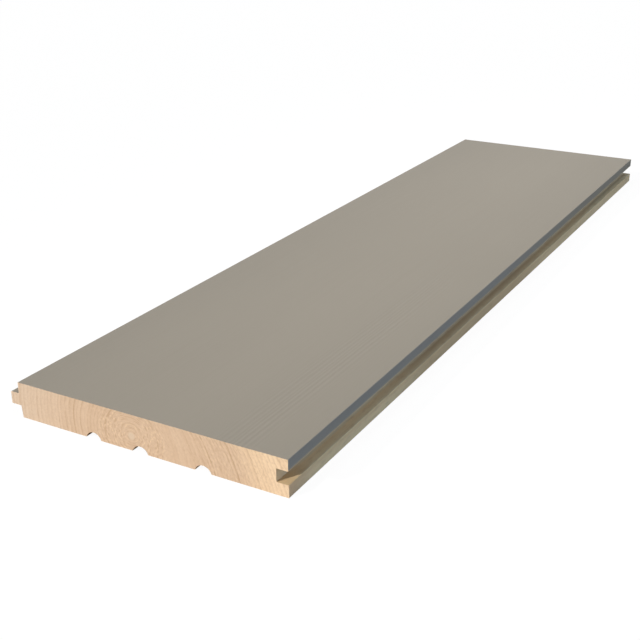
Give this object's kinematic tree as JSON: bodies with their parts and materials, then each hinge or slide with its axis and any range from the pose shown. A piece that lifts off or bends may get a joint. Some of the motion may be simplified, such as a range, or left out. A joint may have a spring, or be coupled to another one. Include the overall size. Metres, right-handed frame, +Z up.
{
  "type": "pine floorboard",
  "caption": "Short length of painted softwood floorboard with a tongue on one long edge, a groove on the other and round relief grooves along the underside.",
  "frame": {"origin": "on the floor, under the middle of the board's overall box, the board lying face up", "axes": "+X across the board towards the groove, -X towards the tongue, +Y along the board and the grain, +Z up out of the painted face"},
  "size_m": [0.1678, 0.615, 0.02],
  "materials": {
    "painted_pine": "satin warm grey paint on the face, bare planed and sawn pine elsewhere"
  },
  "bodies": {
    "root": {"floorboard": "painted_pine"}
  },
  "joints": []
}
